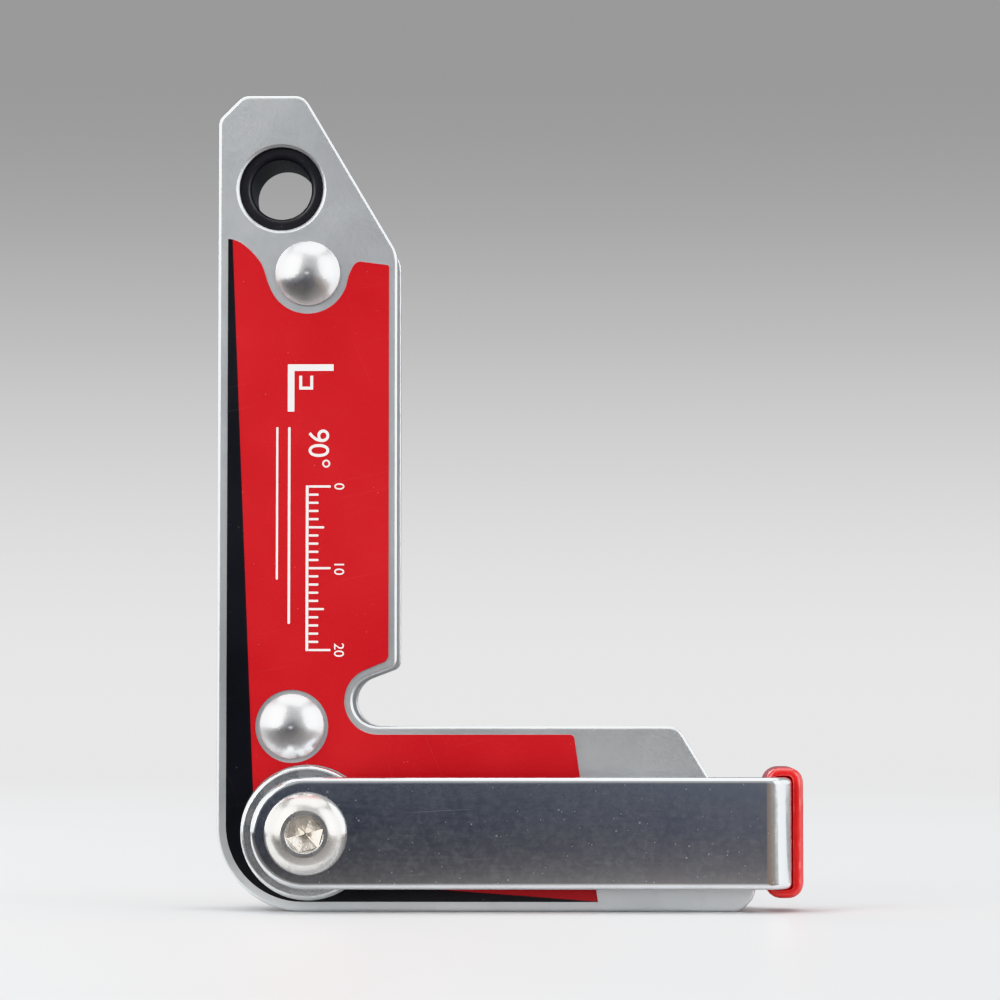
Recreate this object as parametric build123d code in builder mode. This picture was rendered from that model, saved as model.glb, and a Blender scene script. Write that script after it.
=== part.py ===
from build123d import *
from math import acos, asin, atan2, cos, hypot, radians, sin
import os

os.makedirs("parts", exist_ok=True)

# Inside/outside 90 degree welding magnet with a release lever.
# Frame: the two outer working edges meet at the origin. The short leg runs along +X,
# the long leg along +Z, and the face that carries the lever looks towards -Y.
# Y = 0 is the middle of the laminated body. All sizes in millimetres.

# ---------------------------------------------------------------- driving dimensions
long_leg = 100.0          # outer length of the long leg, along Z
short_leg = 65.6          # outer length of the short leg, along X
long_width = 22.0         # width of the long leg
short_width = 22.5        # width of the short leg
corner_r = 10.5           # outer corner of the L
plate_t = 2.0             # thickness of each pole plate
core_t = 9.0              # thickness of the core between the plates

long_slant_z = 80.5       # the long leg's slanted end starts here on the inner edge
long_tip_x = 10.5         # and ends here on the end face
long_tip_chamfer = 3.0
short_slant_x = 56.3      # the short leg's slanted end starts here on the inner edge
short_slant_z = 7.2       # and ends here on the end face
short_tip_chamfer = 1.8

notch_x, notch_z, notch_r = 19.7, 25.6, 3.1   # round end of the inner relief notch
notch_top = 29.8          # the notch opens into the inner edge up to here

pivot = (11.2, 9.6)       # all centres are (X, Z)
pivot_x, pivot_z = pivot
hang_centre = (7.7, 88.5)
hang_r = 5.15             # hang hole in the plates
rivets = {
    "corner_rivet": (9.2, 22.5),
    "long_leg_rivet": (11.0, 78.0),
    "short_leg_rivet": (52.0, 11.0),
}
rivet_shank_r = 2.5
rivet_rim_r = 3.95

spacer_r, spacer_t = 8.1, 2.4
strap_t = 2.0             # thickness of the lever's strap
axial_gap = 0.05          # running clearance on each side of the lever
screw_r = 3.0
washer_r, washer_t = 6.0, 1.6

half = core_t / 2                    # inner face of a plate
face = half + plate_t                # outer face of a plate
strap_back = face + spacer_t + axial_gap
strap_front = strap_back + strap_t

# Sketches on this plane are drawn in (X, Z). Plane.XZ looks towards -Y, so an offset of
# +d puts a sketch at Y = -d, and an extrusion grows towards the front.
front = Plane.XZ


# ---------------------------------------------------------------- shared helpers
def save(builder, name):
    builder.part.label = name
    export_step(builder.part, f"parts/{name}.step")


def spin_plane(x, z):
    """Plane for a (radius, Y) profile spun about the Y-parallel axis through (x, z)."""
    return Plane(origin=(x, 0, z), x_dir=(1, 0, 0), z_dir=(0, 0, 1))


def spin_axis(x, z):
    return Axis((x, 0, z), (0, 1, 0))


def round_corners(outline, corners):
    """Fillet the outline's vertex nearest to each (point, radius)."""
    for (x, y), radius in corners:
        fillet(outline.vertices().sort_by_distance((x, y, 0))[0], radius=radius)


def save_ring(name, start, length, outer_r, inner_r, centre=pivot, rounded=None, rounding=0):
    """Ring grown forwards from Y = -start; `rounded` picks the circular edges to fillet."""
    with BuildPart() as ring:
        with BuildSketch(front.offset(start)):
            with Locations(centre):
                Circle(outer_r)
                Circle(inner_r, mode=Mode.SUBTRACT)
        extrude(amount=length)
        if rounded:
            rims = ring.edges().filter_by(GeomType.CIRCLE).filter_by(rounded)
            fillet(rims, radius=rounding)
    save(ring, name)


# ---------------------------------------------------------------- outline of the L
# upper side of the notch: tangent from its mouth to its round end
mouth = (long_width, notch_top)
to_mouth = hypot(mouth[0] - notch_x, mouth[1] - notch_z)
tangent_angle = atan2(mouth[1] - notch_z, mouth[0] - notch_x) + acos(notch_r / to_mouth)


def at_tangent(radius):
    """Point at this radius from the notch's centre, in the tangent point's direction."""
    return (notch_x + radius * cos(tangent_angle), notch_z + radius * sin(tangent_angle))


tangent = at_tangent(notch_r)

with BuildSketch() as leg_outline:
    with BuildLine():
        Polyline(
            (notch_x, short_width),
            (short_slant_x, short_width),
            (short_leg, short_slant_z),
            (short_leg, short_tip_chamfer),
            (short_leg - short_tip_chamfer, 0),
            (0, 0),
            (0, long_leg - long_tip_chamfer),
            (long_tip_chamfer, long_leg),
            (long_tip_x, long_leg),
            (long_width, long_slant_z),
            mouth,
            tangent,
        )
        ThreePointArc(tangent, (notch_x - notch_r, notch_z), (notch_x, short_width))
    make_face()
    round_corners(leg_outline, (
        ((0, 0), corner_r),
        ((short_slant_x, short_width), 2.0),
        ((short_leg, short_slant_z), 1.5),
        ((short_leg, short_tip_chamfer), 2.2),
        ((short_leg - short_tip_chamfer, 0), 2.2),
        ((0, long_leg - long_tip_chamfer), 1.8),
        ((long_tip_chamfer, long_leg), 1.8),
        ((long_tip_x, long_leg), 2.0),
        ((long_width, long_slant_z), 4.0),
        (mouth, 1.2),
    ))

# ---------------------------------------------------------------- pole plates
plate_edge_r = 0.35       # rolled edge on the outer face of a stamped plate
hang_chamfer = 0.3
plate_rivet_gap = 0.03
plate_screw_gap = 0.15


def save_plate(name, start, side):
    """side is -1 for the front plate and 1 for the rear one."""
    with BuildPart() as plate:
        with BuildSketch(front.offset(start)):
            add(leg_outline.sketch)
            with Locations(*rivets.values()):
                Circle(rivet_shank_r + plate_rivet_gap, mode=Mode.SUBTRACT)
            with Locations(pivot):
                Circle(screw_r + plate_screw_gap, mode=Mode.SUBTRACT)
            with Locations(hang_centre):
                Circle(hang_r, mode=Mode.SUBTRACT)
        extrude(amount=plate_t)
        outer_face = plate.faces().sort_by(Axis.Y)[0 if side < 0 else -1]
        fillet(outer_face.outer_wire().edges(), radius=plate_edge_r)
        hole_rim = plate.edges().filter_by(GeomType.CIRCLE).filter_by(
            lambda e: abs(e.radius - hang_r) < 0.01 and side * e.center().Y > face - 0.01
        )
        chamfer(hole_rim, length=hang_chamfer)
    save(plate, name)


save_plate("front_plate", start=half, side=-1)
save_plate("rear_plate", start=-face, side=1)

# ---------------------------------------------------------------- core and magnets
core_recess = 2.0         # how far the core stands back from the plates' edges
hang_boss_wall = 1.25     # boss round the hang hole
hang_core_gap = 0.03
core_rivet_gap = 0.1
sleeve_r = 5.0
sleeve_gap = 0.05
pocket_corner_r = 0.8
magnet_corner_r = 1.0
magnet_play = 0.2         # pocket size less magnet size

# pockets: centre X, centre Z, size along X, size along Z
magnet_pockets = {
    "long_leg_magnet_lower": (11.0, 41.2, 13.0, 18.6),
    "long_leg_magnet_upper": (11.0, 62.0, 13.0, 18.6),
    "short_leg_magnet": (33.4, 11.2, 20.4, 13.0),
}

with BuildPart() as core_frame:
    with BuildSketch(front.offset(-half)):
        add(leg_outline.sketch)
        offset(amount=-core_recess)
        with Locations(hang_centre):
            Circle(hang_r + hang_boss_wall)
            Circle(hang_r + hang_core_gap, mode=Mode.SUBTRACT)
        with Locations(*rivets.values()):
            Circle(rivet_shank_r + core_rivet_gap, mode=Mode.SUBTRACT)
        with Locations(pivot):
            Circle(sleeve_r + sleeve_gap, mode=Mode.SUBTRACT)
        for x, z, width, height in magnet_pockets.values():
            with Locations((x, z)):
                RectangleRounded(width, height, pocket_corner_r, mode=Mode.SUBTRACT)
    extrude(amount=core_t)
save(core_frame, "core_frame")

# block magnets, bearing on both plates
for name, (x, z, width, height) in magnet_pockets.items():
    with BuildPart() as magnet:
        with BuildSketch(front.offset(-half)):
            with Locations((x, z)):
                RectangleRounded(width - magnet_play, height - magnet_play, magnet_corner_r)
        extrude(amount=core_t)
    save(magnet, name)

# ---------------------------------------------------------------- rivets
# A straight shank through the stack, then on each plate a thin rim and a spherical dome.
rivet_head_r = 3.85
rivet_top = face + 2.0
rim_top = face + 0.22
dome_base = face + 0.34
dome_h = rivet_top - dome_base
dome_r = (rivet_head_r**2 + dome_h**2) / (2 * dome_h)
dome_y = rivet_top - dome_r                      # centre of the dome's sphere
dome_mid = asin(rivet_head_r / dome_r) / 2       # angle halfway down the dome's arc
dome_via = (dome_r * sin(dome_mid), dome_y + dome_r * cos(dome_mid))


def save_rivet(name, x, z):
    with BuildPart() as rivet:
        with BuildSketch(spin_plane(x, z)):
            with BuildLine():
                for side in (-1, 1):
                    Polyline(
                        (rivet_shank_r, 0),
                        (rivet_shank_r, side * face),
                        (rivet_rim_r, side * face),
                        (rivet_rim_r, side * rim_top),
                        (rivet_head_r, side * dome_base),
                    )
                    ThreePointArc(
                        (rivet_head_r, side * dome_base),
                        (dome_via[0], side * dome_via[1]),
                        (0, side * rivet_top),
                    )
                Line((0, -rivet_top), (0, rivet_top))
            make_face()
        revolve(axis=spin_axis(x, z))
    save(rivet, name)


for name, (x, z) in rivets.items():
    save_rivet(name, x, z)

# ---------------------------------------------------------------- hang hole bush
hang_bush_r = 3.7         # clear hole through the bush
bush_sink = 0.6           # how far the bush ends below each plate's face
bush_len = 2 * (face - bush_sink)

save_ring(
    "hang_hole_bush", -bush_len / 2, bush_len, hang_r - 0.03, hang_bush_r, centre=hang_centre,
    rounded=lambda e: abs(e.radius - hang_bush_r) < 0.01, rounding=0.6,
)

# ---------------------------------------------------------------- stickers
# The outline follows the outer edges and stops short of both leg ends. At the long leg's
# end it runs under the rivet in one smooth curve about the rivet's centre.
label_t = 0.15
label_margin = 1.2        # from the outer edges
label_inset = 1.0         # from the inner edges and the notch
label_gap = 0.15          # round the spacer and the washer
label_end_inner_x = 43.6  # slanted end on the short leg
label_end_outer_x = 46.5
label_top = (label_margin, 82.3)
label_inner_x = long_width - label_inset
label_inner_z = short_width - label_inset
label_notch_r = notch_r + label_inset
label_notch_start = at_tangent(label_notch_r)
label_mouth = (label_inner_x, notch_top + 0.75)

wrap_x, wrap_z = rivets["long_leg_rivet"]
wrap_r = rivet_rim_r + 1.0
wrap_a, wrap_b = radians(205), radians(350)
wrap_start = (wrap_x + wrap_r * cos(wrap_a), wrap_z + wrap_r * sin(wrap_a))
wrap_end = (wrap_x + wrap_r * cos(wrap_b), wrap_z + wrap_r * sin(wrap_b))
wrap_crest = (wrap_x + 6.6, wrap_z + 1.45)
label_inner_top = (label_inner_x, wrap_z + 1.0)

with BuildSketch() as label_outline:
    with BuildLine():
        Polyline(
            (notch_x, label_inner_z),
            (label_end_inner_x, label_inner_z),
            (label_end_outer_x, label_margin),
            (label_margin, label_margin),
            label_top,
        )
        Spline(
            label_top,
            (2.6, 81.9),
            (4.0, 80.8),
            (5.3, 79.2),
            wrap_start,
            tangents=((1, -0.05), (-sin(wrap_a), cos(wrap_a))),
        )
        ThreePointArc(wrap_start, (wrap_x, wrap_z - wrap_r), wrap_end)
        Spline(
            wrap_end,
            (wrap_x + 5.35, wrap_z + 0.5),
            wrap_crest,
            tangents=((-sin(wrap_b), cos(wrap_b)), (1, -0.1)),
        )
        Polyline(wrap_crest, label_inner_top, label_mouth, label_notch_start)
        ThreePointArc(
            label_notch_start,
            (notch_x - label_notch_r, notch_z),
            (notch_x, label_inner_z),
        )
    make_face()
    round_corners(label_outline, (
        ((label_margin, label_margin), corner_r - label_margin),
        ((label_end_inner_x, label_inner_z), 0.6),
        (label_inner_top, 0.3),
        (label_mouth, 1.0),
    ))
    with Locations(rivets["corner_rivet"]):
        Circle(rivet_rim_r + 0.5, mode=Mode.SUBTRACT)


def save_label(name, start, pivot_hole_r):
    with BuildPart() as label:
        with BuildSketch(front.offset(start)):
            add(label_outline.sketch)
            with Locations(pivot):
                Circle(pivot_hole_r, mode=Mode.SUBTRACT)
        extrude(amount=label_t)
    save(label, name)


save_label("front_label", face, spacer_r + label_gap)
save_label("rear_label", -face - label_t, washer_r + label_gap)

# ---------------------------------------------------------------- pivot rings
nut_seat = face + washer_t

save_ring(
    "pivot_spacer", face, spacer_t, spacer_r, screw_r + 0.1,
    rounded=lambda e: abs(e.radius - spacer_r) < 0.01 and e.center().Y < -face - 0.1,
    rounding=0.5,
)
# distance sleeve that carries the screw's clamping force past the core
save_ring("pivot_sleeve", -half, core_t, sleeve_r, screw_r + 0.1)
save_ring(
    "pivot_washer", -nut_seat, washer_t, washer_r, screw_r + 0.2,
    rounded=lambda e: abs(e.radius - washer_r) < 0.01, rounding=0.3,
)

# ---------------------------------------------------------------- pivot screw
nut_hex_h, nut_collar_h = 4.6, 1.4
nut_end = nut_seat + nut_hex_h + nut_collar_h

head_seat = strap_front + axial_gap
head_top = head_seat + 2.9
head_r = 5.0
head_flat_r = 2.85        # flat on top of the button head
head_rim_h = 0.5
head_via = (4.3, -(head_seat + 1.95))
head_under_r = head_r - 0.12
screw_end = nut_end + 1.6
thread_step = 0.5         # from one crest to the next
socket_r = 2.0            # centre to flat
socket_depth = 1.9
socket_point_depth = 2.82
socket_turn = 15          # degrees

with BuildPart() as pivot_screw:
    with BuildSketch(spin_plane(*pivot)):
        with BuildLine():
            head_rim = (head_r, -(head_seat + head_rim_h))
            Polyline((0, -head_top), (head_flat_r, -head_top))
            ThreePointArc((head_flat_r, -head_top), head_via, head_rim)
            Polyline(head_rim, (head_under_r, -head_seat), (screw_r, -head_seat))
            # thread roots and crests on the free end, beyond the lock nut
            y = nut_end + 0.1
            points = [(screw_r, -head_seat), (screw_r, y)]
            while y + thread_step < screw_end - 0.4:
                points.append((screw_r - 0.32, y + thread_step / 2))
                points.append((screw_r - 0.03, y + thread_step))
                y += thread_step
            points += [(screw_r - 0.6, screw_end), (0, screw_end)]
            Polyline(*points)
            Line((0, screw_end), (0, -head_top))
        make_face()
    revolve(axis=spin_axis(*pivot))
    with BuildSketch(front.offset(head_top)):
        with Locations(pivot):
            RegularPolygon(socket_r, side_count=6, major_radius=False, rotation=socket_turn)
    extrude(amount=-socket_depth, mode=Mode.SUBTRACT)
    # countersunk lead-in to the socket
    with BuildSketch(front.offset(head_top)):
        with Locations(pivot):
            Circle(socket_r + 0.32)
    extrude(amount=-0.35, taper=42, mode=Mode.SUBTRACT)
    # the socket's floor runs down to a blunt point in six flats
    for depth, radius in ((socket_depth, socket_r - 0.04), (socket_point_depth, 0.12)):
        with BuildSketch(front.offset(head_top - depth)):
            with Locations(pivot):
                RegularPolygon(radius, side_count=6, major_radius=False, rotation=socket_turn)
    loft(mode=Mode.SUBTRACT)
save(pivot_screw, "pivot_screw")

# ---------------------------------------------------------------- lock nut
# Hexagon with turned corners, and a round collar that holds the insert.
nut_flat_r = 5.0          # centre to flat
nut_turned_r = nut_flat_r + 0.85
nut_hex_end = nut_seat + nut_hex_h
nut_bore_r = screw_r + 0.02
insert_r = 3.8            # pocket for the insert
insert_pocket_depth = 1.8
insert_t = 1.5
insert_sink = 0.25        # below the collar's end

with BuildPart() as pivot_nut:
    with BuildSketch(front.offset(-nut_hex_end)):
        with Locations(pivot):
            RegularPolygon(nut_flat_r, side_count=6, major_radius=False, rotation=30)
    extrude(amount=nut_hex_h)
    # turned corners: a spun envelope kept in common with the hexagon
    with BuildSketch(spin_plane(*pivot)):
        with BuildLine():
            Polyline(
                (0, nut_seat),
                (nut_flat_r + 0.15, nut_seat),
                (nut_turned_r, nut_seat + 0.42),
                (nut_turned_r, nut_hex_end - 0.5),
                (nut_flat_r - 0.05, nut_hex_end),
                (0, nut_hex_end),
                close=True,
            )
        make_face()
    revolve(axis=spin_axis(*pivot), mode=Mode.INTERSECT)
    with BuildSketch(front.offset(-nut_end)):
        with Locations(pivot):
            Circle(nut_flat_r - 0.45)
    extrude(amount=nut_collar_h + 0.01)   # slight overlap with the hexagon
    collar_end = pivot_nut.faces().sort_by(Axis.Y)[-1]
    fillet(collar_end.outer_wire().edges(), radius=0.65)
    with BuildSketch(front.offset(-nut_end)):
        with Locations(pivot):
            Circle(nut_bore_r)
    extrude(amount=nut_hex_h + nut_collar_h, mode=Mode.SUBTRACT)
    with BuildSketch(front.offset(-nut_end)):
        with Locations(pivot):
            Circle(insert_r)
    extrude(amount=insert_pocket_depth, mode=Mode.SUBTRACT)
save(pivot_nut, "pivot_nut")

save_ring("nut_insert", -nut_end + insert_sink, insert_t, insert_r - 0.02, nut_bore_r)

# ---------------------------------------------------------------- lever
# Bent strap: its side profile, drawn in (X, Y), is extruded across the width, then the
# pivot end is rounded about the screw.
strap_w = 13.5
lever_hole_r = 3.05
flange_out_x = 70.0       # outer face of the lever's turned-down tip
flange_depth = 12.4       # from the strap's front face to the tip's free end
bend_r = 3.2              # outer radius of the bend
tip_corner_r = 2.0
strap_edge_r = 0.7
overshoot = 1             # how far cutting shapes reach past the strap in Y
end_margin = 2            # how far the trimming shape reaches past the tip in X

pivot_end_x = pivot_x - strap_w / 2
flange_in_x = flange_out_x - strap_t
flange_mid_x = (flange_in_x + flange_out_x) / 2
flange_end = -strap_front + flange_depth
trim_end_x = flange_out_x + end_margin


def lever_edge_along_z(x, y):
    return lever_arm.edges().filter_by(Axis.Z).sort_by_distance((x, y, pivot_z))[0]


with BuildPart() as lever_arm:
    with BuildSketch(Plane.XY.offset(pivot_z - strap_w / 2)):
        with BuildLine():
            Polyline(
                (pivot_end_x, -strap_front),
                (flange_out_x, -strap_front),
                (flange_out_x, flange_end),
                (flange_in_x, flange_end),
                (flange_in_x, -strap_back),
                (pivot_end_x, -strap_back),
                close=True,
            )
        make_face()
    extrude(amount=strap_w)
    fillet(lever_edge_along_z(flange_out_x, -strap_front), radius=bend_r)
    fillet(lever_edge_along_z(flange_in_x, -strap_back), radius=bend_r - strap_t)
    # rounded pivot end
    with BuildSketch(front.offset(-flange_end - overshoot)):
        with Locations(pivot):
            Circle(strap_w / 2)
        with Locations(((pivot_x + trim_end_x) / 2, pivot_z)):
            Rectangle(trim_end_x - pivot_x, strap_w)
    extrude(amount=strap_front + flange_end + 2 * overshoot, mode=Mode.INTERSECT)
    # rounded free corners on the turned-down tip
    tip_corners = lever_arm.edges().filter_by(Axis.X).filter_by(
        lambda e: e.center().Y > flange_end - 0.01
    )
    fillet(tip_corners, radius=tip_corner_r)
    with BuildSketch(front.offset(strap_back - overshoot)):
        with Locations(pivot):
            Circle(lever_hole_r)
    extrude(amount=strap_t + 2 * overshoot, mode=Mode.SUBTRACT)
    # soft rolled edge round the strap's front face, up to the bend
    front_edges = lever_arm.faces().sort_by(Axis.Y)[0].outer_wire().edges().filter_by(
        lambda e: e.center().X < flange_out_x - bend_r - 0.01
    )
    fillet(front_edges, radius=strap_edge_r)
save(lever_arm, "lever_arm")

# ---------------------------------------------------------------- lever grip
# Dipped vinyl cap on the turned-down tip, open towards the front.
grip_wall = 1.3
grip_extra = 0.3          # added to the cap's thickness, all on its outer side
grip_gap = 0.02           # clearance round the tip
grip_lip = -strap_front + bend_r + 0.15
grip_end = flange_end + grip_wall

with BuildPart() as lever_grip:
    with BuildSketch(front.offset(-grip_end)):
        with Locations((flange_mid_x + grip_extra / 2, pivot_z)):
            RectangleRounded(
                strap_t + 2 * grip_wall + grip_extra, strap_w + 2 * grip_wall, 1.6
            )
    extrude(amount=grip_end - grip_lip)
    closed_end = lever_grip.faces().sort_by(Axis.Y)[-1]
    fillet(closed_end.outer_wire().edges(), radius=1.5)
    lip = lever_grip.faces().sort_by(Axis.Y)[0]
    fillet(lip.outer_wire().edges(), radius=0.5)
    with BuildSketch(front.offset(-flange_end - grip_gap)):
        with Locations((flange_mid_x, pivot_z)):
            Rectangle(strap_t + 2 * grip_gap, strap_w + 2 * grip_gap)
    extrude(amount=flange_end - grip_lip + 1, mode=Mode.SUBTRACT)
save(lever_grip, "lever_grip")
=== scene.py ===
# A magnetic right-angle holder with a lever. The L stands in the X-Z plane: the long leg runs
# up Z, the short leg runs along X, and the thickness is along Y with the mid-plane at Y = 0.
# The front faces -Y, towards the camera. The script adds materials, the print on the labels,
# a dipped cap on the lever's tip, and a small studio. Units are metres.
import math

import bmesh
import bpy
from mathutils import Matrix, Vector, noise


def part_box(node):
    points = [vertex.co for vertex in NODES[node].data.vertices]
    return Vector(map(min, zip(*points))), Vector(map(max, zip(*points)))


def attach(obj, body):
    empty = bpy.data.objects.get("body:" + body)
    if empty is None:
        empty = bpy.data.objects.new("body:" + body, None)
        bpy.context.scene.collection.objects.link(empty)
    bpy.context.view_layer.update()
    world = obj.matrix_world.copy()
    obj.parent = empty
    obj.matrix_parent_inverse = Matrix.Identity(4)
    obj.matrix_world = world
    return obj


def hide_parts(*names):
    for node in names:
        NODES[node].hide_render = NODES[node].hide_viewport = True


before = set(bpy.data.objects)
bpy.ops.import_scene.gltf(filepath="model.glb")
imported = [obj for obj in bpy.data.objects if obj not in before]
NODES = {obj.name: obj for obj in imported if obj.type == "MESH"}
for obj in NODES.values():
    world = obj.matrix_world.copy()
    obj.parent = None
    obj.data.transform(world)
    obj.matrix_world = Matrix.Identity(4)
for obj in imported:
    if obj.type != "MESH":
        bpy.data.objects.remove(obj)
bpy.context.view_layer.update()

MM = 0.001


# ------------------------------------------------------------------ places read from the frame
def centre(node):
    low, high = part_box(node)
    return (low + high) / 2


PIVOT = centre("pivot_spacer")
PLATE_INNER = -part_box("front_plate")[1].y      # inner face of a plate, from the mid-plane
ARM_LOW, ARM_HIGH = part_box("lever_arm")
GRIP_LOW, GRIP_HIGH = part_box("lever_grip")
SCREW_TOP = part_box("pivot_screw")[0].y         # front of the pivot screw's head


# ------------------------------------------------------------------ objects
def add_object(name, data):
    added = bpy.data.objects.new(name, data)
    bpy.context.scene.collection.objects.link(added)
    return added


def mesh_object(name, bm, material):
    """Turn a finished bmesh into an object with one material."""
    mesh = bpy.data.meshes.new(name)
    bm.to_mesh(mesh)
    bm.free()
    mesh.materials.append(material)
    return add_object(name, mesh)


def level_sheet(name, x_range, y_range, height, material):
    """A single rectangle facing up."""
    (left, right), (near, far) = x_range, y_range
    bm = bmesh.new()
    corners = ((left, near), (right, near), (right, far), (left, far))
    bm.faces.new([bm.verts.new((x, y, height)) for x, y in corners])
    return mesh_object(name, bm, material)


# ------------------------------------------------------------------ node helpers
class Value:
    """A node output. Arithmetic on it adds Math nodes."""

    def __init__(self, graph, socket):
        self.graph = graph
        self.socket = socket

    def __add__(self, other):
        return self.graph.calc("ADD", self, other)

    def __radd__(self, other):
        return self.graph.calc("ADD", other, self)

    def __sub__(self, other):
        return self.graph.calc("SUBTRACT", self, other)

    def __rsub__(self, other):
        return self.graph.calc("SUBTRACT", other, self)

    def __mul__(self, other):
        return self.graph.calc("MULTIPLY", self, other)

    def __truediv__(self, other):
        return self.graph.calc("DIVIDE", self, other)

    def __abs__(self):
        return self.graph.calc("ABSOLUTE", self)

    def max(self, other):
        return self.graph.calc("MAXIMUM", self, other)

    def min(self, other):
        return self.graph.calc("MINIMUM", self, other)

    def fade(self, start, end, to=(0.0, 1.0), smooth=False):
        """Clamped change from to[0] to to[1] while this value goes from start to end."""
        inputs = {
            "Value": self,
            "From Min": start,
            "From Max": end,
            "To Min": to[0],
            "To Max": to[1],
        }
        kind = "SMOOTHSTEP" if smooth else "LINEAR"
        return self.graph.add("ShaderNodeMapRange", inputs, interpolation_type=kind)

    def colours(self, low, high):
        """Colour low where this value is 0, high where it is 1."""
        inputs = {"Factor": self, 6: low, 7: high}
        return self.graph.add("ShaderNodeMix", inputs, output=2, data_type="RGBA")

    def values(self, low, high):
        """Number low where this value is 0, high where it is 1."""
        return self.graph.add("ShaderNodeMix", {"Factor": self, 2: low, 3: high}, data_type="FLOAT")


class Graph:
    """The node tree of a material or a world, emptied and ready to build."""

    def __init__(self, owner, coordinates="Object"):
        owner.use_nodes = True
        self.tree = owner.node_tree
        self.tree.nodes.clear()
        self.place = self.add("ShaderNodeTexCoord", output=coordinates)

    def node(self, kind, inputs=None, **properties):
        made = self.tree.nodes.new(kind)
        for name, setting in properties.items():
            setattr(made, name, setting)
        for socket, value in (inputs or {}).items():
            self.put(made.inputs[socket], value)
        return made

    def add(self, kind, inputs=None, output=0, **properties):
        return Value(self, self.node(kind, inputs, **properties).outputs[output])

    def put(self, socket, value):
        """Link a Value to a socket, or set the socket to a number, vector or colour."""
        if isinstance(value, Value):
            self.tree.links.new(value.socket, socket)
        elif socket.type == "RGBA":
            socket.default_value = (*value, 1.0)
        else:
            socket.default_value = value

    def calc(self, operation, *terms):
        return self.add("ShaderNodeMath", dict(enumerate(terms)), operation=operation)

    def distance(self, across, along):
        return self.calc("SQRT", across * across + along * along)

    def split(self, vector):
        """The x, y and z of a vector."""
        separate = self.node("ShaderNodeSeparateXYZ", {0: vector})
        return [Value(self, socket) for socket in separate.outputs]

    def ramp(self, factor, stops):
        """Colour ramp from (position, colour) stops in rising order."""
        ramp = self.node("ShaderNodeValToRGB", {0: factor})
        elements = ramp.color_ramp.elements
        for element, (position, colour) in zip(elements, (stops[0], stops[-1])):
            element.position = position
            element.color = (*colour, 1)
        for position, colour in stops[1:-1]:
            elements.new(position).color = (*colour, 1)
        return Value(self, ramp.outputs[0])

    def glow(self, colour, strength):
        return self.add("ShaderNodeEmission", {"Color": colour, "Strength": strength})

    def mix_shaders(self, factor, low, high):
        return self.add("ShaderNodeMixShader", {0: factor, 1: low, 2: high})

    def camera_ray(self):
        return self.add("ShaderNodeLightPath", output="Is Camera Ray")


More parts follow.
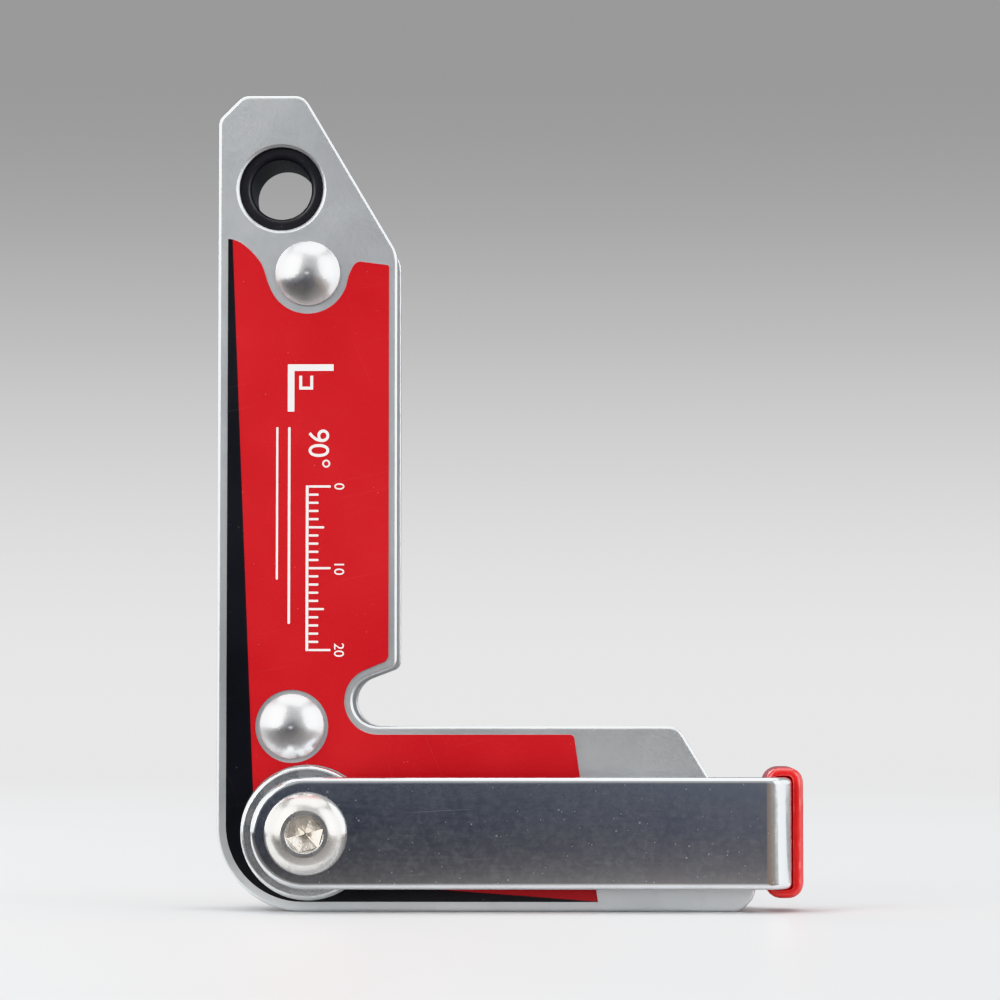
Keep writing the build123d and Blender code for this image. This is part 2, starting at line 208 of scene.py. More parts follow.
class Surface(Graph):
    """A Principled material. Its colour, rough and normal are built up in layers."""

    def __init__(self, name):
        self.material = bpy.data.materials.new(name)
        super().__init__(self.material)
        self.principled = self.node("ShaderNodeBsdfPrincipled")
        self.shader = Value(self, self.principled.outputs[0])
        self.normal = None

    # patterns
    def mapped(self, vector=None, scale=(1, 1, 1), turn=(0, 0, 0), shift=(0, 0, 0)):
        return self.add("ShaderNodeMapping", {
            "Vector": vector or self.place,
            "Scale": scale,
            "Rotation": turn,
            "Location": shift,
        })

    def noise(self, scale=1.0, detail=2, rough=0.5, warp=0.0, at=None):
        return self.add("ShaderNodeTexNoise", {
            "Vector": at or self.place,
            "Scale": scale,
            "Detail": detail,
            "Roughness": rough,
            "Distortion": warp,
        }, output="Fac")

    def grain(self, scale=1.0, at=None):
        """Noise a little crisper than the default."""
        return self.noise(scale, rough=0.6, at=at)

    def cloud(self, scale=1.0, warp=0.0, at=None):
        """Noise with one more octave than grain."""
        return self.noise(scale, detail=3, rough=0.6, warp=warp, at=at)

    def cells(self, scale, at=None):
        """Distance to the nearest of many scattered points."""
        inputs = {"Vector": at or self.place, "Scale": scale}
        return self.add("ShaderNodeTexVoronoi", inputs, output="Distance")

    def scratches(self, *sets):
        """Sparse fine lines in the X-Z plane, 1 on a line. Each set is: angle in degrees,
        length in mm, width in mm, noise level above which a line shows, pattern shift."""
        lines = None
        for angle, length, width, cut, shift in reversed(sets):
            turned = self.mapped(turn=(0, math.radians(angle), 0), shift=(shift, 0, shift))
            stretched = self.mapped(turned, scale=(1 / (length * MM), 3.0, 1 / (width * MM)))
            found = self.noise(detail=1, rough=0.4, at=stretched).fade(cut, cut + 0.03)
            lines = found.max(lines) if lines else found
        return lines

    # masks from the shape
    def round_edges(self, mm):
        """Start the normal from one rounded over the edges."""
        self.normal = self.add("ShaderNodeBevel", {"Radius": mm * MM}, samples=6)
        return self.normal

    def edge_mask(self, rounded):
        """1 where the rounded normal leaves the true surface: near an edge."""
        flat = self.add("ShaderNodeNewGeometry", output="Normal")
        inputs = {0: rounded, 1: flat}
        agreement = self.add("ShaderNodeVectorMath", inputs, "Value", operation="DOT_PRODUCT")
        return agreement.fade(0.995, 0.85)

    def side_mask(self):
        """1 on faces that look away from the Y axis: the cut edges of flat stock."""
        facing = self.add("ShaderNodeNewGeometry", output="True Normal")
        return abs(self.split(facing)[1]).fade(0.55, 0.25)

    # layers
    def tint(self, mask, colour, share=None):
        """Lay a colour over the present one where the mask is 1, at most by share."""
        cover = mask if share is None else mask * share
        self.colour = cover.colours(self.colour, colour)

    def finish_to(self, mask, rough, share=None):
        """Move the roughness to rough where the mask is 1, at most by share."""
        cover = mask if share is None else mask * share
        self.rough = cover.values(self.rough, rough)

    def bump(self, height, mm, strength):
        inputs = {"Strength": strength, "Distance": mm * MM, "Height": height}
        if self.normal is not None:
            inputs["Normal"] = self.normal
        self.normal = self.add("ShaderNodeBump", inputs)

    def done(self, **inputs):
        """Fill the Principled node, close the tree and return the material."""
        inputs.update(Base_Color=self.colour, Roughness=self.rough, Normal=self.normal)
        for name, value in inputs.items():
            self.put(self.principled.inputs[name.replace("_", " ")], value)
        self.node("ShaderNodeOutputMaterial", {0: self.shader})
        return self.material


# ------------------------------------------------------------------ materials
def plate_steel(name, seed):
    """Satin zinc plate on stamped steel: fine grain, faint rolling marks, handling scratches.
    The cut edges show the bright sheared band and the rougher torn band behind it."""
    mat = Surface(name)
    edge = mat.edge_mask(mat.round_edges(mm=0.25))
    y = mat.split(mat.place)[1]
    moved = mat.mapped(shift=(seed, 0, seed))
    broad = mat.cloud(scale=45, at=moved)
    patch = mat.cloud(scale=260, warp=0.4, at=moved)
    grain = mat.grain(scale=5200, at=moved)
    rolled = mat.grain(at=mat.mapped(moved, scale=(2600, 400, 120)))
    mat.colour = broad.fade(0.3, 0.7).colours((0.75, 0.77, 0.785), (0.82, 0.84, 0.85))
    mat.tint(patch.fade(0.45, 0.75, to=(0, 0.3)), (0.66, 0.69, 0.71))
    mat.tint(grain.fade(0.5, 0.8), (0.84, 0.86, 0.87), share=0.25)
    mat.rough = 0.43 + (grain - 0.5) * 0.22 + (broad - 0.5) * 0.16
    lines = mat.scratches(
        (24, 22, 0.05, 0.76, seed + 1),
        (-58, 16, 0.045, 0.77, seed + 5),
        (86, 30, 0.05, 0.765, seed + 9),
    )
    mat.tint(lines, (0.85, 0.86, 0.87), share=0.22)
    mat.finish_to(lines, 0.25, share=0.4)
    # cut edge: sheared band by the outer face, torn band by the inner one
    side = mat.side_mask()
    wander = (mat.noise(scale=330, at=moved) - 0.5) * (0.45 * MM)
    depth = abs(y) + wander
    sheared = depth.fade(PLATE_INNER + 0.75 * MM, PLATE_INNER + 0.85 * MM)
    streak = mat.grain(at=mat.mapped(moved, scale=(5200, 260, 5200)))
    torn_mottle = mat.noise(scale=2400, detail=3, rough=0.7, at=moved)
    torn_colour = torn_mottle.colours((0.25, 0.26, 0.27), (0.50, 0.51, 0.52))
    sheared_colour = streak.fade(0.35, 0.7).colours((0.62, 0.64, 0.65), (0.83, 0.84, 0.85))
    mat.tint(side, sheared.colours(torn_colour, sheared_colour))
    mat.finish_to(side, sheared.values(0.56, 0.24 + streak * 0.16))
    # brightened arrises
    worn = edge * mat.grain(scale=1500, at=moved).fade(0.35, 0.6)
    mat.tint(worn, (0.90, 0.91, 0.92), share=0.7)
    mat.finish_to(worn, 0.2, share=0.6)
    mat.bump(grain * 0.6 + rolled * 0.4, mm=0.006, strength=0.8)
    mat.bump(mat.noise(scale=330, at=moved), mm=0.02, strength=0.6)
    mat.bump(lines, mm=-0.003, strength=0.6)
    torn_relief = mat.noise(scale=3200, detail=3, rough=0.7, at=moved)
    mat.bump(side * sheared.values(torn_relief, streak * 0.3), mm=0.028, strength=0.8)
    return mat.done(Metallic=1.0)


def cast_core(name):
    """Grey die-cast spacer: granular skin, small pits and dull flow marks."""
    mat = Surface(name)
    mat.round_edges(mm=0.3)
    grit = mat.noise(scale=2600, detail=4, rough=0.7)
    flow = mat.noise(scale=180, detail=4, rough=0.6, warp=1.2)
    mat.colour = flow.colours((0.22, 0.225, 0.23), (0.42, 0.425, 0.43))
    mat.tint(grit.fade(0.5, 0.75), (0.56, 0.565, 0.57), share=0.5)
    # 0 in a pit, in some patches only
    unpitted = mat.noise(scale=300, detail=1).fade(0.50, 0.60)
    pits = mat.cells(scale=1300).fade(0.10, 0.22).max(unpitted)
    mat.tint(1.0 - pits, (0.14, 0.14, 0.15), share=0.35)
    mat.bump(grit, mm=0.07, strength=1.0)
    mat.bump(pits, mm=0.05, strength=0.7)
    mat.bump(flow, mm=0.12, strength=0.6)
    mat.rough = grit.fade(0.2, 0.8, to=(0.48, 0.72))
    return mat.done(Metallic=0.75)


def bright_plating(name, middle, tint, rough):
    """Near-mirror plating with small dents and smudges, shared by the fastener heads.
    Returns the open material, the distance from the head's axis, y, and shifted coordinates."""
    mat = Surface(name)
    mat.round_edges(mm=0.12)
    x, y, z = mat.split(mat.place)
    radius = mat.distance(x - middle.x, z - middle.z)
    moved = mat.mapped(shift=(middle.z * 37, 0, middle.x * 53))
    smudge = mat.cloud(scale=420, warp=0.8, at=moved)
    fine = mat.grain(scale=4200, at=moved)
    smudged = tuple(channel * 0.80 for channel in tint)
    mat.colour = smudge.fade(0.4, 0.75).colours(tint, smudged)
    mat.rough = rough + smudge.fade(0.45, 0.75) * 0.14 + (fine - 0.5) * 0.05
    lines = mat.scratches(
        (17, 2.5, 0.035, 0.70, middle.x * 90),
        (-64, 2, 0.03, 0.71, middle.z * 70),
    )
    mat.tint(lines, (0.55, 0.56, 0.58), share=0.25)
    mat.finish_to(lines, 0.32, share=0.5)
    mat.bump(mat.noise(scale=330, at=moved), mm=0.05, strength=0.5)
    mat.bump(mat.grain(scale=1400, at=moved), mm=0.008, strength=0.6)
    return mat, radius, y, moved


def rivet_head(name, middle):
    """Bright rivet: faint setting rings and the setting tool's small centre mark."""
    mat, radius, _, moved = bright_plating(name, middle, tint=(0.84, 0.85, 0.86), rough=0.28)
    uneven = mat.noise(scale=900, at=moved) * 5.0
    rings = mat.calc("SINE", radius * 26000.0 + uneven)
    fainter_inside = radius.fade(0.2 * MM, 3.2 * MM, to=(0.25, 1.0))
    mat.bump(rings * fainter_inside, mm=0.0012, strength=0.6)
    mat.bump(radius.fade(0.10 * MM, 0.5 * MM, smooth=True), mm=0.012, strength=0.8)
    return mat.done(Metallic=1.0)


def screw_head(name, middle):
    """Bright screw; its drive socket gets painted shade and a painted brownish reflection, mottled,
    stronger towards its floor.
    """
    mat, radius, y, moved = bright_plating(name, middle, tint=(0.86, 0.845, 0.82), rough=0.23)
    within = radius.fade(2.75 * MM, 2.35 * MM)
    inside = within * y.fade(SCREW_TOP + 0.25 * MM, SCREW_TOP + 1.3 * MM)
    # painted shade and painted brownish reflection in the drive socket, mottled, growing with
    # depth; the same mottle also drives the socket's bump
    socket_mottle = mat.noise(scale=1500, detail=3, rough=0.65, at=moved)
    mat.tint(inside, socket_mottle.colours((0.36, 0.30, 0.235), (0.95, 0.90, 0.82)), share=0.7)
    mat.finish_to(inside, 0.22)
    mat.bump(inside * socket_mottle, mm=0.05, strength=0.7)
    return mat.done(Metallic=1.0)


def polished_lever(name):
    """Polished plated strap: lengthwise polishing lines, slow waves in the reflection, tiny
    specks in the plating and a few handling scratches."""
    mat = Surface(name)
    edge = mat.edge_mask(mat.round_edges(mm=0.2))
    fine_polish = mat.noise(detail=3, rough=0.65, at=mat.mapped(scale=(240, 900, 3200)))
    broad_polish = mat.grain(at=mat.mapped(scale=(340, 900, 760), shift=(3, 0, 8)))
    mottle = mat.noise(scale=1250, detail=3, rough=0.7, warp=0.4)
    broad = mat.cloud(scale=70, warp=0.6)
    # specks of two sizes, each kept in some patches only
    large = mat.cells(scale=520).fade(0.085, 0.05)
    large_kept = mat.noise(scale=610, detail=0).fade(0.40, 0.47)
    tiny = mat.cells(scale=1150, at=mat.mapped(shift=(0.31, 0.2, 0.7))).fade(0.11, 0.05)
    tiny_kept = mat.noise(scale=430, detail=0).fade(0.36, 0.44)
    specks = (large * large_kept).max(tiny * tiny_kept)
    lines = mat.scratches(
        (3, 20, 0.045, 0.755, 2.0),
        (-27, 12, 0.04, 0.77, 4.0),
        (58, 9, 0.04, 0.78, 7.0),
    )
    mat.colour = broad.fade(0.3, 0.75).colours((0.80, 0.82, 0.84), (0.70, 0.725, 0.75))
    mat.tint(mottle.fade(0.45, 0.8), (0.90, 0.91, 0.92), share=0.3)
    mat.tint(specks, (0.93, 0.93, 0.93), share=0.35)
    mat.tint(lines, (0.92, 0.92, 0.93), share=0.2)
    mat.rough = 0.07 + broad.fade(0.35, 0.75) * 0.06
    mat.rough += fine_polish.fade(0.35, 0.8) * 0.03
    mat.rough += mottle.fade(0.4, 0.8) * 0.055
    mat.finish_to(specks, 0.39, share=0.7)
    mat.finish_to(lines, 0.28, share=0.22)
    # duller cut faces of the sheared strap
    side = mat.side_mask()
    torn = mat.cloud(at=mat.mapped(scale=(4200, 500, 4200)))
    mat.finish_to(side, torn.fade(0.3, 0.8, to=(0.2, 0.42)), share=0.7)
    mat.tint(side, (0.60, 0.61, 0.62), share=0.35)
    worn = edge * mat.grain(scale=1300).fade(0.4, 0.6)
    mat.tint(worn, (0.93, 0.94, 0.95), share=0.6)
    mat.bump(fine_polish, mm=0.0003, strength=0.8)
    mat.bump(broad_polish, mm=0.0009, strength=0.7)
    mat.bump(mottle, mm=0.0004, strength=0.7)
    mat.bump(mat.noise(scale=46), mm=0.06, strength=0.3)
    mat.bump(lines, mm=-0.003, strength=0.6)
    mat.bump(specks, mm=0.002, strength=0.5)
    mat.bump(side * torn, mm=0.03, strength=0.7)
    return mat.done(Metallic=1.0)


def zinc_hardware(name, tint):
    """Zinc-plated hardware turned about the pivot: fine turning rings and cloudy plating."""
    mat = Surface(name)
    edge = mat.edge_mask(mat.round_edges(mm=0.18))
    x, y, z = mat.split(mat.place)
    radius = mat.distance(x - PIVOT.x, z - PIVOT.z)
    cloud = mat.cloud(scale=330, warp=0.7)
    rings_per_metre = 14000.0
    rings_at = {0: radius * rings_per_metre, 1: y * rings_per_metre, 2: 0.0}
    turned = mat.grain(at=mat.add("ShaderNodeCombineXYZ", rings_at))
    clouded = tuple(channel * 0.82 for channel in tint)
    mat.colour = cloud.fade(0.3, 0.75).colours(tint, clouded)
    mat.tint(turned.fade(0.45, 0.75), (0.88, 0.89, 0.89), share=0.4)
    mat.tint(edge, (0.92, 0.93, 0.93), share=0.55)
    mat.rough = 0.22 + cloud.fade(0.4, 0.8) * 0.15 + (turned - 0.5) * 0.16
    mat.bump(turned, mm=0.006, strength=0.8)
    mat.bump(mat.grain(scale=4300), mm=0.004, strength=0.6)
    mat.bump(mat.noise(scale=500), mm=0.02, strength=0.5)
    return mat.done(Metallic=1.0)


def magnet_block(name):
    """Nickel-plated block magnet with small edge chips."""
    mat = Surface(name)
    edge = mat.edge_mask(mat.round_edges(mm=0.35))
    cloud = mat.cloud(scale=300)
    chips = edge * mat.noise(scale=1700, detail=3, rough=0.7).fade(0.55, 0.62)
    mat.colour = cloud.colours((0.60, 0.59, 0.56), (0.72, 0.71, 0.68))
    mat.tint(chips, (0.09, 0.09, 0.10))
    mat.rough = cloud.fade(0.3, 0.8, to=(0.2, 0.34))
    mat.finish_to(chips, 0.8)
    mat.bump(mat.cloud(scale=3600), mm=0.006, strength=0.7)
    mat.bump(chips, mm=-0.06, strength=0.9)
    return mat.done(Metallic=1.0 - chips * 0.7)


def printed_vinyl(name, seed):
    """Laminated sticker: red with a tapering black border down both outer edges, print grain,
    soft ripples, dust and rubbed spots in the gloss."""
    mat = Surface(name)
    mat.round_edges(mm=0.12)
    x, _, z = mat.split(mat.place)
    moved = mat.mapped(shift=(seed, 0, seed * 1.7))
    # each border narrows from the corner to the far end of its leg
    long_leg_border = z.fade(4.0 * MM, 82.5 * MM, to=(4.95 * MM, 1.75 * MM))
    short_leg_border = x.fade(4.0 * MM, 46.5 * MM, to=(4.45 * MM, 1.25 * MM))
    ragged = (mat.noise(scale=5200, detail=1, at=moved) - 0.5) * (0.05 * MM)
    blur = 0.03 * MM
    past_long = (x - long_leg_border + ragged).fade(-blur, blur)
    past_short = (z - short_leg_border + ragged).fade(-blur, blur)
    red_part = past_long * past_short
    broad = mat.cloud(scale=50, at=moved)
    dots = mat.noise(scale=6800, detail=1, at=moved)
    red = broad.fade(0.3, 0.7).colours((0.43, 0.013, 0.017), (0.50, 0.018, 0.022))
    red = (dots.fade(0.5, 0.8) * 0.12).colours(red, (0.85, 0.09, 0.07))
    black = broad.fade(0.3, 0.7).colours((0.009, 0.009, 0.010), (0.016, 0.016, 0.019))
    black = (dots.fade(0.55, 0.8) * 0.1).colours(black, (0.09, 0.09, 0.095))
    mat.colour = red_part.colours(black, red)
    # pale cut edge of the film, rubbed marks, dust
    rub = mat.scratches(
        (12, 20, 0.06, 0.75, seed + 2),
        (-67, 24, 0.05, 0.76, seed + 6),
    )
    dusty_patches = mat.noise(scale=520, detail=0, at=moved).fade(0.55, 0.6)
    dust = mat.cells(scale=900, at=moved).fade(0.07, 0.04) * dusty_patches
    mat.tint(mat.side_mask(), (0.72, 0.62, 0.60), share=0.75)
    mat.tint(rub, (0.75, 0.55, 0.54), share=0.10)
    mat.tint(dust, (0.75, 0.70, 0.68), share=0.22)
    mat.rough = 0.30 + broad.fade(0.35, 0.75) * 0.10 + rub * 0.18
    mat.bump(mat.noise(scale=62, at=moved), mm=0.05, strength=0.5)
    mat.bump(mat.grain_soft(moved) if False else mat.noise(
        scale=900, rough=0.5, at=moved), mm=0.004, strength=0.6)
    mat.bump(dust, mm=0.02, strength=0.5)
    return mat.done(IOR=1.5, Coat_Weight=0.55 - rub * 0.3, Coat_Roughness=0.12)


def white_ink(name):
    """Screen-printed white with pinholes that show the red beneath."""
    mat = Surface(name)
    pinholes = 1.0 - mat.cells(scale=2600).fade(0.05, 0.13)
    mottled = mat.cloud(scale=900)
    mat.colour = mottled.fade(0.3, 0.75).colours((0.86, 0.85, 0.84), (0.78, 0.74, 0.73))
    mat.tint(pinholes, (0.75, 0.35, 0.33), share=0.35)
    mat.bump(mat.noise(scale=3800), mm=0.003, strength=0.6)
    mat.rough = mottled.fade(0.3, 0.8, to=(0.32, 0.45))
    return mat.done(Coat_Weight=0.4, Coat_Roughness=0.15)


def black_bush(name):
    """Moulded black nylon: fine spark-eroded texture, greyed edges and dust."""
    mat = Surface(name)
    edge = mat.edge_mask(mat.round_edges(mm=0.25))
    grain = mat.noise(scale=3800, detail=3, rough=0.65)
    cloud = mat.cloud(scale=380)
    mat.colour = cloud.colours((0.014, 0.014, 0.016), (0.030, 0.030, 0.034))
    mat.tint(edge * grain.fade(0.4, 0.65), (0.12, 0.12, 0.125))
    dust = mat.cells(scale=1500).fade(0.09, 0.04) * cloud.fade(0.5, 0.6)
    mat.tint(dust, (0.4, 0.38, 0.36), share=0.5)
    mat.bump(grain, mm=0.012, strength=0.8)
    mat.bump(mat.noise(scale=700), mm=0.02, strength=0.5)
    mat.rough = grain.fade(0.3, 0.75, to=(0.34, 0.52))
    return mat.done()


def nylon_insert(name):
    """Natural nylon ring with a slightly fuzzy surface."""
    mat = Surface(name)
    mat.round_edges(mm=0.15)
    cloud = mat.cloud(scale=700)
    mat.colour = cloud.colours((0.66, 0.65, 0.58), (0.80, 0.79, 0.72))
    mat.bump(mat.cloud(scale=2600), mm=0.015, strength=0.8)
    mat.rough = cloud.fade(0.3, 0.8, to=(0.35, 0.5))
    return mat.done(
        Subsurface_Weight=0.35,
        Subsurface_Scale=0.0012,
        Subsurface_Radius=(1.0, 0.9, 0.7),
    )


def dipped_vinyl(name):
    """Glossy red dipped vinyl: slow runs in the skin, orange peel, pinholes and scuffs."""
    mat = Surface(name)
    y = mat.split(mat.place)[1]
    broad = mat.cloud(scale=190)
    runs = mat.noise(at=mat.mapped(scale=(420, 60, 420)))
    mat.colour = broad.fade(0.3, 0.75).colours((0.50, 0.008, 0.012), (0.62, 0.014, 0.018))
    # painted highlight: lighter red near the lip at the open front (-Y)
    lip = y.fade(GRIP_LOW.y + 0.2 * MM, GRIP_LOW.y + 2.4 * MM, to=(1.0, 0.0))
    mat.tint(lip, (0.86, 0.07, 0.06), share=0.35)
    scuffs = mat.scratches(
        (35, 2.2, 0.05, 0.78, 3.0),
        (-40, 3, 0.06, 0.78, 8.0),
    )
    mat.tint(scuffs, (0.80, 0.22, 0.20), share=0.10)
    mat.rough = 0.17 + broad.fade(0.4, 0.8) * 0.12
    mat.finish_to(scuffs, 0.40, share=0.4)
    mat.bump(runs, mm=0.06, strength=0.4)
    mat.bump(broad, mm=0.12, strength=0.4)
    mat.bump(mat.noise(scale=1500), mm=0.010, strength=0.6)
    mat.bump(mat.cells(scale=760).fade(0.035, 0.075), mm=0.03, strength=0.5)
    return mat.done(
        IOR=1.53,
        Coat_Weight=0.6,
        Coat_Roughness=0.07,
        Subsurface_Weight=0.12,
        Subsurface_Scale=0.0015,
        Subsurface_Radius=(1.0, 0.25, 0.2),
    )


def paint(node, material):
    """Give a CAD node's object the material, on the object's own slots."""
    target = NODES[node]
    if not target.material_slots:
        target.data.materials.append(material)
    for slot in target.material_slots:
        slot.link = "OBJECT"
        slot.material = material


paint("front_plate", plate_steel("satin_plate_front", seed=0.0))
paint("rear_plate", plate_steel("satin_plate_rear", seed=3.7))
paint("core_frame", cast_core("cast_core"))
nickel = magnet_block("nickel_magnet")
for magnet in ("long_leg_magnet_lower", "long_leg_magnet_upper", "short_leg_magnet"):
    paint(magnet, nickel)
for rivet, spot in (
    ("corner_rivet", "corner"),
    ("long_leg_rivet", "long"),
    ("short_leg_rivet", "short"),
):
    paint(rivet, rivet_head(f"rivet_{spot}_bright", centre(rivet)))
paint("hang_hole_bush", black_bush("moulded_black"))
paint("front_label", printed_vinyl("label_print_front", seed=0.0))
paint("rear_label", printed_vinyl("label_print_rear", seed=5.3))
for part, zinc_tint in (
    ("spacer", (0.78, 0.80, 0.81)),
    ("sleeve", (0.72, 0.75, 0.76)),
    ("washer", (0.74, 0.77, 0.78)),
    ("nut", (0.70, 0.73, 0.75)),
):
    paint(f"pivot_{part}", zinc_hardware(f"{part}_zinc", zinc_tint))
paint("pivot_screw", screw_head("screw_bright", PIVOT))
paint("nut_insert", nylon_insert("nylon_natural"))
paint("lever_arm", polished_lever("lever_polished"))
paint("lever_grip", dipped_vinyl("grip_vinyl_cad"))


# ------------------------------------------------------------------ print on the labels
# Layout in mm: u runs in the reading direction (down, -Z), v runs up the print.
PRINT_X = 11.2           # where v = 0 lies
PRINT_Z = 68.0           # where u = 0 lies
INK = 0.02 * MM          # height of the ink's top
INK_GAP = 0.002 * MM     # clearance between label and ink
SCALE_START = 16.2
SCALE_LENGTH = 20
TICK_HALF = 0.13         # half a tick's width
TICK_ROUND = 0.1         # corner radius of ticks and baseline

# outlines of the right-angle mark and the small square sign inside it, as (u, v)
ANGLE_MARK = (
    (1.2, -2.6), (7.0, -2.6), (7.0, -1.8), (2.0, -1.8), (2.0, 3.0), (1.2, 3.0),
)
SQUARE_SIGN = (
    (2.6, -1.2), (4.3, -1.2), (4.3, 0.5), (2.6, 0.5),
    (2.6, 0.15), (3.95, 0.15), (3.95, -0.85), (2.6, -0.85),
)
# plain rules: u0, v0, u1, v1, corner radius
RULES = (
    (8.9, -2.55, 33.0, -2.25, 0.12),
    (8.9, -4.0, 27.6, -3.75, 0.12),
)
# numerals: text, size, u of the middle, v of the baseline, name ending
FIGURES = [("90\u00b0", 3.6, 11.6, 0.0, "angle")]
FIGURES += [(str(10 * i), 1.75, SCALE_START + 10 * i, 3.15, f"tens_{i}") for i in range(3)]


def rounded_bar(u0, v0, u1, v1, radius):
    """Outline of a rectangle with rounded corners."""
    radius = min(radius, abs(u1 - u0) / 2 * 0.95, abs(v1 - v0) / 2 * 0.95)
    corners = (
        (u1 - radius, v1 - radius, 0),
        (u0 + radius, v1 - radius, 90),
        (u0 + radius, v0 + radius, 180),
        (u1 - radius, v0 + radius, 270),
    )
    outline = []
    for corner_u, corner_v, start in corners:
        for step in range(5):
            angle = math.radians(start + step * 22.5)
            outline.append((
                corner_u + radius * math.cos(angle),
                corner_v + radius * math.sin(angle),
            ))
    return outline


def print_outlines():
    """All drawn shapes: angle mark, millimetre scale with its baseline, and rules."""
    outlines = [ANGLE_MARK, SQUARE_SIGN]
    for i in range(SCALE_LENGTH + 1):
        height = 2.7 if i % 10 == 0 else (1.9 if i % 5 == 0 else 1.2)
        middle = SCALE_START + i
        tick = (middle - TICK_HALF, 0.0, middle + TICK_HALF, height, TICK_ROUND)
        outlines.append(rounded_bar(*tick))
    scale_end = SCALE_START + SCALE_LENGTH
    baseline = (SCALE_START - TICK_HALF, -0.35, scale_end + TICK_HALF, -0.02, TICK_ROUND)
    outlines.append(rounded_bar(*baseline))
    outlines += [rounded_bar(*rule) for rule in RULES]
    return outlines


def numeral_mesh(body, size):
    """Mesh of a short text, centred, as thick as the ink."""
    text = bpy.data.curves.new("figure", "FONT")
    text.body = body
    text.size = size * MM
    text.extrude = INK / 2
    text.resolution_u = 6
    text.align_x = "CENTER"
    holder = add_object("figure", text)
    bpy.context.view_layer.update()
    depsgraph = bpy.context.evaluated_depsgraph_get()
    mesh = bpy.data.meshes.new_from_object(holder.evaluated_get(depsgraph))
    bpy.data.objects.remove(holder)
    return mesh


def label_marks(name, node, sign, ink):
    """White print on one label; sign is -1 for the front face and 1 for the rear."""
    low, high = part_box(node)
    surface = low.y if sign < 0 else high.y
    outward = Vector((0, sign, 0))
    up = Vector((-sign, 0, 0))
    reading = Vector((0, 0, -1))
    origin = Vector((PRINT_X * MM, surface, PRINT_Z * MM))

    def at(u, v, lift):
        return origin + reading * (u * MM) + up * (v * MM) + outward * lift

    bm = bmesh.new()
    for outline in print_outlines():
        base, top = [], []
        for u, v in outline:
            base.append(bm.verts.new(at(u, v, INK_GAP)))
        for u, v in outline:
            top.append(bm.verts.new(at(u, v, INK)))
        count = len(outline)
        bm.faces.new(base)
        bm.faces.new(list(reversed(top)))
        for i in range(count):
            after = (i + 1) % count
            bm.faces.new((base[i], top[i], top[after], base[after]))
    bmesh.ops.recalc_face_normals(bm, faces=bm.faces)
    marks = [mesh_object(name, bm, ink)]

    turned = Matrix((reading, up, outward)).transposed().to_4x4()
    for body, size, u, v, ending in FIGURES:
        mesh = numeral_mesh(body, size)
        mesh.transform(Matrix.Translation(at(u, v, INK / 2 + INK_GAP)) @ turned)
        mesh.name = f"{name}_{ending}"
        mesh.materials.clear()
        mesh.materials.append(ink)
        marks.append(add_object(f"{name}_{ending}", mesh))
    for mark in marks:
        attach(mark, "magnet")


ink_white = white_ink("ink_white")
label_marks("front_print", "front_label", -1, ink_white)
label_marks("rear_print", "rear_label", 1, ink_white)


# ------------------------------------------------------------------ dipped cap on the lever's tip
RING_POINTS = 96
POCKET_ROUND = 0.3 * MM     # corner radius of the pocket
BODY_ROUND = 2.0 * MM       # corner radius of the outside, and of the closed end
END_STEPS = 8
# rolled lip: mm behind the cap's front, spread from pocket to outside before scaling
LIP = ((0.16, 0.10), (0.04, 0.32), (0.05, 0.58), (0.20, 0.82), (0.48, 0.98), (0.95, 1.06))
LIP_SPREAD = 1.1            # spread that would reach the full outside
# outside wall: share of the cap's length, swelling in mm
BODY = ((0.16, -0.10), (0.28, -0.06), (0.42, -0.02), (0.56, 0.03), (0.68, 0.05), (0.78, 0.04))


def rounded_rectangle(half_x, half_z, radius):
    """RING_POINTS (x, z) points, evenly spaced by travel; starts at the foot of the +X side."""
    radius = min(radius, half_x * 0.98, half_z * 0.98)
    corner_x, corner_z = half_x - radius, half_z - radius
    corners = (
        (corner_x, corner_z),
        (-corner_x, corner_z),
        (-corner_x, -corner_z),
        (corner_x, -corner_z),
    )
    outward = ((1, 0), (0, 1), (-1, 0), (0, -1))
    arc = radius * math.pi / 2
    total = 4 * (corner_x + corner_z + arc)

    def point(travel):
        for side, (out_x, out_z) in enumerate(outward):
            straight = 2 * (corner_x if side % 2 else corner_z)
            if travel <= straight:
                x, z = corners[side - 1]
                return x + radius * out_x - travel * out_z, z + radius * out_z + travel * out_x
            travel -= straight
            if travel <= arc:
                x, z = corners[side]
                angle = side * math.pi / 2 + travel / radius
                return x + radius * math.cos(angle), z + radius * math.sin(angle)
            travel -= arc

    return [point(total * i / RING_POINTS) for i in range(RING_POINTS)]


def cap_ring(y, half_x, half_z, radius, middle_x, middle_z, wave=0.0):
    """One ring of the cap; wave is how far the ring wanders along Y."""
    ring = []
    for x, z in rounded_rectangle(half_x, half_z, radius):
        slow = noise.noise(Vector((x * 260, 4.1, z * 260)))
        quick = noise.noise(Vector((x * 700, 9.3, z * 700)))
        wander = wave * (0.6 * slow + 0.4 * quick)
        ring.append(Vector((middle_x + x, y + wander, middle_z + z)))
    return ring


